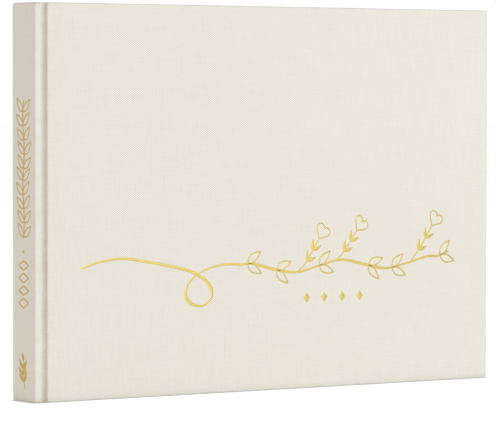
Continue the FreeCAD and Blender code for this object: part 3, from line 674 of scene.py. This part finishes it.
mull_up = np.linspace(TURN_IN, HEIGHT - TURN_IN, 9)
mull_middle = MULL_DEEP + MULL_THICK / 2
mull_back = MULL_START + MULL_THICK / 2
path = rounded_path(((mull_back, BLOCK_DEEP), (mull_back, mull_middle), (FLAT_FROM, mull_middle)),
                    radii=(0.0002,))
flap = np.linspace(FLAT_FROM, MULL_END, 12)[1:]
mull_along, mull_deep = refined(np.concatenate((path[0], flap)),
                                np.concatenate((path[1], np.full(len(flap), mull_middle))), 0.0004)
for word, side in SIDES:
    patches = swept_sheet(mull_along, mull_deep, mull_up, MULL_LIES, side)
    mull = add_piece(join_patches(f"{word}_mull", patches), gauze)
    start, end = (tuple(at(along, MULL_BEND_DEEP, BEND_UP, side)) for along in MULL_BEND)
    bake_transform(mull)
    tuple(start)
    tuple(end)
    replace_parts(mull, f"{word}_mull_flap", f"{word}_mull_hinge")


# ---------------------------------------------------------------------------------------------
# Endpapers. One folded sheet of heavy cream paper at each end of the book. One half is pasted to
# the board over turn-ins and mull, whose edges show through it. The other half is the flyleaf,
# tipped to the block along its gutter.

PAPER = 0.0002
PASTE_DEEP = OUTER_FACE - abs(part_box("front_pastedown")[1].y)
FORE_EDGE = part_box("front_pastedown")[1].x - SPINE_LOW.x
TAIL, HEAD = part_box("front_pastedown")[0].z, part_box("front_pastedown")[1].z
FLY_DEEP = OUTER_FACE - abs((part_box("front_flyleaf")[0].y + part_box("front_flyleaf")[1].y) / 2)
GUTTER_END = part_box("front_flyleaf_gutter")[1].x - SPINE_LOW.x
LEAF_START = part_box("front_flyleaf")[0].x - SPINE_LOW.x
BLOCK_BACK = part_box("front_endpaper_hinge")[0].x - SPINE_LOW.x
SINK = 0.00022
STEP_WIDTH = 0.0012
EDGE_DROP = 0.00012
EDGE_DROP_REACH = 0.0006
# Each run of grid lines across the pasted half, from its start to its end, and how many.
PASTED_ROWS = ((0.0068, MULL_END + 0.003, 12), (0.04, 0.222, 24), (0.2235, 0.2275, 6),
               (0.230, FORE_EDGE, 5))
PASTED_BEND = (0.0044, 0.0064)
PASTED_BEND_DEEP = 0.0034

endpaper = paper_material("cream_endpaper", (0.78, 0.72, 0.61), (0.66, 0.60, 0.49),
                          grain_scale=1500.0, fleck_scale=600.0, fleck_share=0.06,
                          grain_depth=0.00003, roughness=0.72)


def ease(t):
    """0 below 0, 1 above 1, and 3 t^2 - 2 t^3 between."""
    t = np.clip(t, 0, 1)
    return t * t * (3 - 2 * t)


def pastedown(word, side):
    """The depth of the pasted half is less by SINK inside the window of the turn-ins, as a product of
    eased steps, and by half of that over the mull. It is EDGE_DROP deeper at the block's back."""
    near = BLOCK_BACK + PAPER + (FLAT_FROM - BLOCK_BACK) * np.linspace(0, 1, 12)
    far = [np.linspace(*rows) for rows in PASTED_ROWS]
    along = np.concatenate((near, *far))[:, None]
    ends = np.linspace(TURN_IN - 0.002, TURN_IN + 0.002, 6)
    up = np.concatenate((np.linspace(TAIL, TURN_IN - 0.003, 4), ends,
                         np.linspace(0.02, HEIGHT - 0.02, 12), HEIGHT - ends[::-1],
                         np.linspace(HEIGHT - TURN_IN + 0.003, HEAD, 4)))[None, :]
    window = ease((up - TURN_IN) / STEP_WIDTH) * ease((HEIGHT - TURN_IN - up) / STEP_WIDTH)
    window = window * ease((FORE_EDGE + 0.003 - TURN_IN - along) / STEP_WIDTH)
    over_mull = 0.5 + 0.5 * ease((along - MULL_END) / STEP_WIDTH)
    inside = ease((along - FLAT_FROM) / 0.002)
    face_deep = PASTE_DEEP - SINK * window * over_mull * inside
    face_deep = face_deep + (1 - ease((along - BLOCK_BACK) / EDGE_DROP_REACH)) * EDGE_DROP
    face = at(along, face_deep, up, side)
    back = at(along, face_deep - PAPER * 0.95, up, side)
    return join_patches(f"{word}_pasted_endpaper", sheet_patches(face, back, unrolled(along, up)))


fly_back = BLOCK_BACK + PAPER / 2
path = rounded_path(((fly_back, PASTE_DEEP + 0.00001), (fly_back, FLY_DEEP), (GUTTER_END, FLY_DEEP)),
                    radii=(0.00009,))
fly_along = np.concatenate((path[0], np.linspace(GUTTER_END, LEAF_START, 11)[1:],
                            np.linspace(LEAF_START, FORE_EDGE, 24)[1:]))
fly_deep = np.concatenate((path[1], np.full(len(fly_along) - len(path[1]), FLY_DEEP)))
fly_up = np.linspace(TAIL, HEAD, 9)
for word, side in SIDES:
    pasted = add_piece(pastedown(word, side), endpaper)
    start, end = (tuple(at(along, PASTED_BEND_DEEP, BEND_UP, side)) for along in PASTED_BEND)
    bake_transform(pasted)
    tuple(start)
    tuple(end)
    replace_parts(pasted, f"{word}_pastedown", f"{word}_endpaper_hinge")

    patches = swept_sheet(fly_along, fly_deep, fly_up, PAPER * 0.97, side)
    fly = add_piece(join_patches(f"{word}_free_endpaper", patches), endpaper)
    start, end = (tuple(at(along, FLY_DEEP, BEND_UP, side)) for along in (GUTTER_END, LEAF_START))
    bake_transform(fly)
    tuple(start)
    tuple(end)
    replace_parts(fly, f"{word}_flyleaf_gutter", f"{word}_flyleaf_bend", f"{word}_flyleaf")


# ---------------------------------------------------------------------------------------------
# Pages. Six sections of four folded sheets each, sewn through the fold. The first section's eight
# leaves are made one by one, and the others together. Trimming leaves each sheet a hair different.

PAGE = 0.0002
LEAF_PITCH = 0.00022
LEAVES = 8
SHEETS = LEAVES // 2
SECTIONS = 6
SECTION_PITCH = LEAVES * LEAF_PITCH
TRIM = 0.00006
# A leaf's straight run starts beside the fold. One after the middle of its section starts sooner.
RUN_START = 0.0055
RUN_TURN = 0.0068
HALF_SHEET_START = 0.0050

page_paper = paper_material("ivory_page_paper", (0.80, 0.75, 0.65), (0.72, 0.66, 0.56),
                            grain_scale=1700.0, fleck_scale=900.0, fleck_share=0.04,
                            grain_depth=0.00002, roughness=0.8)
trims = np.random.default_rng(7).uniform(-TRIM, 0, (SECTIONS, SHEETS, 6))


def leaf_depth(section, leaf):
    """Depth of a leaf's middle, counted from the front."""
    return BLOCK_DEEP + section * SECTION_PITCH + leaf * LEAF_PITCH + PAGE / 2


def fold_path(section, sheet, ends):
    """Half circle round the fold of a sheet, nested in its section, with a straight run to the
    fore-edge at each end that is wanted."""
    outer, inner = leaf_depth(section, sheet), leaf_depth(section, LEAVES - 1 - sheet)
    radius = (inner - outer) / 2
    centre = BLOCK_BACK + PAGE / 2 + (leaf_depth(section, LEAVES - 1) - leaf_depth(section, 0)) / 2
    arc = np.linspace(-np.pi / 2, np.pi / 2, 11)
    along, deep = centre - radius * np.cos(arc), outer + radius + radius * np.sin(arc)
    if "outer" in ends:
        along = np.append(ends["outer"][::-1], along)
        deep = np.append(0 * ends["outer"] + outer, deep)
    if "inner" in ends:
        along = np.append(along, ends["inner"])
        deep = np.append(deep, 0 * ends["inner"] + inner)
    return along, deep


def page_rows(trim):
    """The heights of a sheet's rows, from its trimmed tail to its trimmed head."""
    return np.linspace(TAIL - trim[0], HEAD + trim[1], 7)


for section in range(1, SECTIONS):
    patches = []
    for sheet in range(SHEETS):
        trim = trims[section, sheet]
        runs = [np.linspace(RUN_START, FORE_EDGE + cut, 8) for cut in trim[2:4]]
        along, deep = fold_path(section, sheet, {"outer": runs[0], "inner": runs[1]})
        patches += swept_sheet(along, deep, page_rows(trim), PAGE, FRONT)
    pages = add_piece(join_patches(f"section_{section + 1:02d}", patches), page_paper)
    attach(pages, "text_block")
    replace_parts(pages, f"signature_{section + 1:02d}")

bend = np.linspace(GUTTER_END, LEAF_START, 11)
for leaf in range(LEAVES):
    sheet = min(leaf, LEAVES - 1 - leaf)
    trim = trims[0, sheet]
    free = np.linspace(LEAF_START, FORE_EDGE + trim[2], 20)[1:]
    run = np.concatenate(([RUN_START, RUN_TURN], bend, free))
    depth = leaf_depth(0, leaf)
    if leaf < SHEETS:
        along, deep = fold_path(0, sheet, {"outer": run})
    else:
        along, deep = np.append(HALF_SHEET_START, run), np.full(len(run) + 1, depth)
    patches = swept_sheet(along, deep, page_rows(trim), PAGE, FRONT)
    page = add_piece(join_patches(f"page_{leaf + 1:02d}", patches), page_paper)
    start, end = (tuple(at(along, depth, BEND_UP, FRONT)) for along in (GUTTER_END, LEAF_START))
    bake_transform(page)
    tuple(start)
    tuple(end)
    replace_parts(page, f"leaf_{leaf + 1:02d}")
    if leaf == 0:
        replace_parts(page, "signature_01_fold", "signature_01_bend")


# ---------------------------------------------------------------------------------------------
# Sewing. Waxed linen thread passes across the folds at five stations, down in the saw cuts.

waxed, tree = new_material("waxed_linen")
place = add_node(tree, "TexCoord").outputs["Object"]
twist = add_node(tree, "TexWave", {"Vector": place, "Scale": 900.0, "Distortion": 1.5, "Detail": 2.0},
                 wave_type="BANDS", bands_direction="DIAGONAL")
tone = calc(tree, "MULTIPLY_ADD", twist.outputs["Fac"], 0.25, 0.8)
finish_material(tree, {"Base Color": scaled(tree, (0.80, 0.75, 0.64), tone), "Roughness": 0.55,
                       "Normal": relief(tree, twist.outputs["Fac"], 0.6, 0.00006)})
give(waxed, "linen_thread", "sewing_thread")


# ---------------------------------------------------------------------------------------------
# Headbands. A bead wrapped with silk stands on each end of the block behind the spine, in turns of
# ivory and pale gold, and its tape is glued down over the back.

BEAD_TURN = 0.0009
BEAD_RIDGE = 0.00007
BEAD_SOLE = 0.00002
BAND_TAPE = 0.00028


def wrapped_bead(name, node, outward):
    """A flattened bead along the back of the block: an ellipse over the node's bead, whose size
    grows by BEAD_RIDGE |sin(pi n)| as n counts the turns of silk, with a tape down the back."""
    low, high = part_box(node)
    tip = high.z if outward > 0 else low.z
    foot = TAIL if outward < 0 else HEAD
    length = np.linspace(low.y, high.y, 236)[:, None]
    turns = (length - low.y) / BEAD_TURN
    swell = BEAD_RIDGE * (np.abs(np.sin(np.pi * turns)) - 1)
    around = np.linspace(0, 2 * np.pi, 25)[None, :]
    half = (high.x - low.x) / 2
    cosine, sine = np.cos(around), np.sin(around)
    across = low.x + half + (half + swell) * cosine
    rise = np.where(sine > 0, (abs(tip - foot) + swell) * sine, BEAD_SOLE * sine)
    end = foot + outward * rise
    points = np.stack((across, length + 0 * around, end), axis=-1)
    caps = np.broadcast_to(points.mean(axis=1, keepdims=True), points.shape)
    points = np.concatenate((caps[:1], points, caps[-1:]))
    flat = unrolled(np.concatenate((turns[:1], turns, turns[-1:])), around)
    tape_up = np.linspace(foot, high.z if outward < 0 else low.z, 4)
    tape_length = np.linspace(low.y, high.y, 30)
    grid_up, grid_length = np.meshgrid(tape_up, tape_length)
    tape = [np.stack((0 * grid_up + x, grid_length, grid_up), axis=-1)
            for x in (low.x, low.x + BAND_TAPE)]
    tape_flat = np.stack(((grid_length - low.y) / BEAD_TURN, grid_up), axis=-1)
    return join_patches(name, [(points, flat, 0.0)] + sheet_patches(*tape, tape_flat), 70.0)


silk, tree = new_material("headband_silk")
turn_place = add_node(tree, "UVMap", uv_map="flat").outputs[0]
split = add_node(tree, "SeparateXYZ", {0: turn_place})
pair = calc(tree, "MULTIPLY", split.outputs[0], 0.5)
odd = calc(tree, "GREATER_THAN", calc(tree, "FRACT", pair), 0.5)
strand = noise(tree, turn_place, 9.0, 3.0)
striped = add_node(tree, "Mix", {"Factor": odd, "A": (0.80, 0.77, 0.70, 1), "B": (0.66, 0.52, 0.26, 1)},
                   data_type="RGBA")
tone = calc(tree, "MULTIPLY_ADD", strand, 0.3, 0.85)
finish_material(tree, {"Base Color": scaled(tree, striped.outputs["Result"], tone), "Roughness": 0.42,
                       "Normal": relief(tree, strand, 0.4, 0.00004), "Sheen Weight": 0.25})
for name, outward in (("head_band", 1), ("tail_band", -1)):
    band = add_piece(wrapped_bead(f"{name}_silk", name, outward), silk)
    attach(band, "text_block")
    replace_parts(band, name)


# ---------------------------------------------------------------------------------------------
# Foil. Gold foil is stamped into the cloth with a hot brass die: on the front cover a long pen
# flourish that grows into a leafy vine with heart-shaped buds, over a row of four lozenges, and
# on the spine a leafy stem, a dot, four lozenges and a small sprig. It takes on the weave.

FOIL_RISE = 0.00005
PEN_TIP = 0.0015


def smooth_line(stops, per_run=12):
    """A line through its stops. Between stops 1 and 2 it is half of 2 s1 + (s2 - s0) t +
    (2 s0 - 5 s1 + 4 s2 - s3) t^2 + (3 s1 - s0 - 3 s2 + s3) t^3."""
    stops = np.array(stops, float) / 1000
    stops = np.concatenate((2 * stops[:1] - stops[1:2], stops, 2 * stops[-1:] - stops[-2:-1]))
    s0, s1, s2, s3 = (stops[i:len(stops) - 3 + i, None] for i in range(4))
    t = np.linspace(0, 1, per_run, endpoint=False)[None, :, None]
    line = 0.5 * (2 * s1 + (s2 - s0) * t + (2 * s0 - 5 * s1 + 4 * s2 - s3) * t ** 2
                  + (3 * s1 - s0 - 3 * s2 + s3) * t ** 3)
    return np.concatenate((line.reshape(-1, 2), stops[-2:-1]))


def pressed(line, width, around=10):
    """A flat raised stroke along a line, as (across, up, proud): round it the section is an ellipse
    as wide as the stroke and twice FOIL_RISE high, sunk to its middle in the cloth."""
    step = np.gradient(line, axis=0)
    step /= np.linalg.norm(step, axis=1, keepdims=True) + 1e-12
    aside = np.stack((-step[:, 1], step[:, 0]), axis=1)
    turn = np.linspace(0, 2 * np.pi, around + 1)
    half = width[:, None] / 2
    spread = line[:, None] + aside[:, None] * (half * np.cos(turn))[..., None]
    proud = FOIL_RISE * np.sin(turn) * np.clip(half / (FOIL_RISE * 4), 0, 1)
    return np.concatenate((spread, proud[..., None]), axis=-1)


def pen_width(line, thin, thick, nib):
    """The width of a pen stroke: thin along the nib's own direction and thick across it, and drawn
    to a round point at both ends."""
    step = np.gradient(line, axis=0)
    heading = np.arctan2(step[:, 1], step[:, 0])
    width = thin + (thick - thin) * np.sin(heading - nib) ** 2
    run = np.concatenate(([0], np.linalg.norm(np.diff(line, axis=0), axis=1).cumsum()))
    nearest = np.minimum(run, run[-1] - run)
    return width * np.sqrt(1 - (1 - np.clip(nearest / PEN_TIP, 0, 1)) ** 2)


def turned_line(line, root, heading):
    """A line drawn along +x from the origin, turned to a heading and moved to its root."""
    cosine, sine = np.cos(heading), np.sin(heading)
    return np.array(root) + line @ np.array(((cosine, sine), (-sine, cosine)))


def leaf(root, heading, length, width, curl=0.15):
    """A leaf: its midrib bends aside by curl length t^2, and its width is width sin(pi t^0.75)."""
    t = np.linspace(0, 1, 15)
    rib = np.stack((length * t, curl * length * t ** 2), axis=1)
    return pressed(turned_line(rib, root, heading), width * np.sin(np.pi * t ** 0.75))


def lozenge(centre, width, height):
    """A lozenge: a stroke whose width grows evenly to the middle and falls again."""
    t = np.linspace(-1, 1, 9)
    line = np.array(centre) + np.stack((0 * t, height / 2 * t), axis=1)
    return pressed(line, width * (1 - np.abs(t)))


def dot(centre, radius):
    """A round dot: a stroke whose width is 2 radius sqrt(1 - t^2) along its height."""
    t = np.linspace(-1, 1, 9)
    line = np.array(centre) + np.stack((0 * t, radius * t), axis=1)
    return pressed(line, 2 * radius * np.sqrt(1 - t ** 2))


def outlined_lozenge(centre, width, height, pen):
    """The outline of a lozenge, through its four corners."""
    corners = np.array(((width / 2, 0), (0, height / 2), (-width / 2, 0), (0, -height / 2),
                        (width / 2, 0)))
    t = np.linspace(0, 1, 4, endpoint=False)[:, None]
    sides = corners[:-1, None] * (1 - t) + corners[1:, None] * t
    line = np.concatenate((sides.reshape(-1, 2), corners[:1])) + np.array(centre)
    return pressed(line, np.full(len(line), pen))


def outlined_leaf(root, heading, length, width, pen, curl):
    """The outline of a leaf: out along one edge, a midrib of curl length t^2 plus half the width
    times sin(pi t^0.8), and back along the other."""
    t = np.linspace(0, 1, 16)
    bulge = width / 2 * np.sin(np.pi * t ** 0.8)
    edges = [np.stack((length * t, curl * length * t ** 2 + way * bulge), axis=1) for way in (1, -1)]
    line = turned_line(np.concatenate((edges[0], edges[1][-2::-1])), root, heading)
    return pressed(line, np.full(len(line), pen))


def outlined_heart(tip, heading, size, pen):
    """The outline of a heart from its point: across = 16 sin^3 t and along = 13 cos t - 5 cos 2t -
    2 cos 3t - cos 4t, both shrunk to the size."""
    t = np.linspace(np.pi, 3 * np.pi, 41)
    across = 16 * np.sin(t) ** 3
    along = 13 * np.cos(t) - 5 * np.cos(2 * t) - 2 * np.cos(3 * t) - np.cos(4 * t) + 17
    line = turned_line(np.stack((along, across), axis=1) * size / 29, tip, heading)
    return pressed(line, np.full(len(line), pen))


def leaf_pairs(line, shares, lean, draw):
    """Draws a pair of leaves at each share of a line, leaning off its direction to both sides."""
    places = np.clip((np.array(shares) * (len(line) - 1)).astype(int), 1, len(line) - 2)
    ahead = line[places + 1] - line[places - 1]
    headings = np.arctan2(ahead[:, 1], ahead[:, 0])
    return [draw(line[place], heading + way * lean, way)
            for place, heading in zip(places, headings) for way in (-1, 1)]


def filled(length, width):
    """How a pair's filled leaf is drawn: it curls back towards the line."""
    return lambda root, heading, way: leaf(root, heading, length, width, -0.2 * way)


def outlined(length, width, pen):
    """How a pair's outlined leaf is drawn."""
    return lambda root, heading, way: outlined_leaf(root, heading, length, width, pen, -0.2 * way)


GOLD_COLOUR = (0.595, 0.427, 0.115)
gold, tree = new_material("gold_foil")
woven = cloth_weave(tree)
speckle = noise(tree, add_node(tree, "TexCoord").outputs["Object"], 1400.0, 3.0)
# Painted sheen: as on the cloth, the warp's cells are lighter than the weft's; the speckle is the foil's
# own random tone.
tone = calc(tree, "MULTIPLY_ADD", woven["Crossing"], 0.34, 0.80)
tone = calc(tree, "ADD", tone, calc(tree, "MULTIPLY_ADD", speckle, 0.16, -0.08))
rough = calc(tree, "MULTIPLY_ADD", woven["Height"], -0.15, 0.55)
finish_material(tree, {"Base Color": scaled(tree, GOLD_COLOUR, tone), "Metallic": 1.0,
                       "Roughness": rough, "Normal": relief(tree, woven["Height"], 0.5, 0.00005)})


def foil_piece(name, strokes, place, body, *replaced):
    """One piece of foil from its strokes, put on the cloth by place."""
    patches = [(place(*np.moveaxis(stroke, -1, 0)), stroke[..., :2], 0.0) for stroke in strokes]
    made = add_piece(join_patches(name, patches, 80.0), gold)
    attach(made, body)
    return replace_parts(made, *replaced)


def on_cover(along, up, proud):
    """Points of the front cover's face."""
    return np.stack((SPINE_LOW.x + along, -OUTER_FACE - proud, up), axis=-1)


def on_spine(across, up, proud):
    """Points of the spine's face, counted from its middle towards the front cover."""
    return np.stack((SPINE_LOW.x - proud, -across, up), axis=-1)


flourish = smooth_line(((22, 54.8), (31, 57.4), (43, 58.7), (56, 57.0), (67, 54.9), (78, 52.3),
                        (86.6, 47.4), (88.8, 41.8), (85.2, 38.0), (79.0, 38.2), (75.2, 42.2),
                        (77.4, 48.0), (84.6, 52.6), (94, 54.8), (104, 54.8)))
vine = smooth_line(((102, 54.2), (110, 54.9), (122, 52.0), (134, 50.6), (146, 53.2), (158, 55.4),
                    (170, 53.2), (182, 51.0), (194, 53.0), (205, 55.6), (212, 55.8), (218, 58.0)))
stems = [smooth_line(stops) for stops in (
    ((134, 50.6), (138.5, 54.5), (142, 59.5), (145.4, 64.6)),
    ((155, 55.2), (158.6, 58.4), (162.4, 63.0), (166.0, 67.6)),
    ((196, 53.4), (200, 57.8), (204.2, 63.4), (208.0, 69.0)))]
NIB = np.radians(35)
VINE_PEN = (0.0008, 0.0017)
STEM_PEN = (0.0007, 0.0011)
FINE_PEN = 0.00068
strokes = [pressed(line, pen_width(line, *VINE_PEN, NIB)) for line in (flourish, vine)]
strokes += [pressed(line, pen_width(line, *STEM_PEN, NIB)) for line in stems]
foil_piece("foil_flourish", strokes, on_cover, "front_cover", "front_foil_vine")

VINE_LEAF_PLACES = (0.07, 0.19, 0.37, 0.57, 0.67, 0.93)
VINE_LEAF = outlined(0.0082, 0.0034, FINE_PEN)
VINE_LEAN = 0.80
STEM_LEAF_PLACES = (0.40, 0.70)
STEM_LEAF = filled(0.0052, 0.0017)
STEM_LEAN = 0.75
leaves = leaf_pairs(vine, VINE_LEAF_PLACES, VINE_LEAN, VINE_LEAF)
for line in stems:
    leaves += leaf_pairs(line, STEM_LEAF_PLACES, STEM_LEAN, STEM_LEAF)
foil_piece("foil_leaves", leaves, on_cover, "front_cover", "front_foil_leaves")

HEART_SIZE = 0.0068
buds = []
for line in stems:
    ahead = line[-1] - line[-3]
    buds.append(outlined_heart(line[-1], np.arctan2(ahead[1], ahead[0]), HEART_SIZE, FINE_PEN))
foil_piece("foil_hearts", buds, on_cover, "front_cover", "front_foil_hearts")

LOZENGE_UP = 0.0394
LOZENGE_WIDTH = 0.0034
LOZENGE_HEIGHT = 0.0046
row = [lozenge((along, LOZENGE_UP), LOZENGE_WIDTH, LOZENGE_HEIGHT)
       for along in (0.139, 0.1485, 0.1582, 0.1679)]
foil_piece("foil_lozenges", row, on_cover, "front_cover", "front_foil_lozenges")

STALK_FOOT = 0.0677
STALK_TOP = 0.1255
STALK_SWING = 0.0005
STALK_WAVE = 0.029
STALK_PEN = (0.0006, 0.0009)
STALK_LEAF = outlined(0.0070, 0.0027, 0.0006)
STALK_LEAN = 0.98
climb = np.linspace(STALK_FOOT, STALK_TOP, 60)
swing = STALK_SWING * np.sin((climb - climb[0]) * 2 * np.pi / STALK_WAVE)
stalk = np.stack((swing, climb), axis=1)
spine_strokes = [pressed(stalk, pen_width(stalk, *STALK_PEN, NIB))]
spine_strokes += leaf_pairs(stalk, np.linspace(0.03, 0.92, 10), STALK_LEAN, STALK_LEAF)
foil_piece("spine_foil_stem", spine_strokes, on_spine, "text_block", "spine_foil_vine")

COLUMN_FOOT = 0.041
COLUMN_PITCH = 0.0052
column = [outlined_lozenge((0, COLUMN_FOOT + COLUMN_PITCH * i), 0.0078, 0.0040, 0.0007)
          for i in range(4)]
column.append(dot((0, 0.0623), 0.0008))
foil_piece("spine_foil_column", column, on_spine, "text_block", "spine_foil_lozenges")

sprout = smooth_line(((1.2, 5.0), (0.2, 9.0), (-0.6, 13.0), (-0.2, 17.0)))
SPROUT_PEN = (0.0005, 0.0007)
SPROUT_LEAF = filled(0.0052, 0.0018)
SPROUT_LEAN = 0.80
sprig = [pressed(sprout, pen_width(sprout, *SPROUT_PEN, NIB))]
sprig += leaf_pairs(sprout, (0.30, 0.52, 0.74), SPROUT_LEAN, SPROUT_LEAF)
sprig.append(leaf(sprout[-2], np.radians(95), 0.0040, 0.0018))
foil_piece("spine_foil_sprout", sprig, on_spine, "text_block", "spine_foil_sprig")
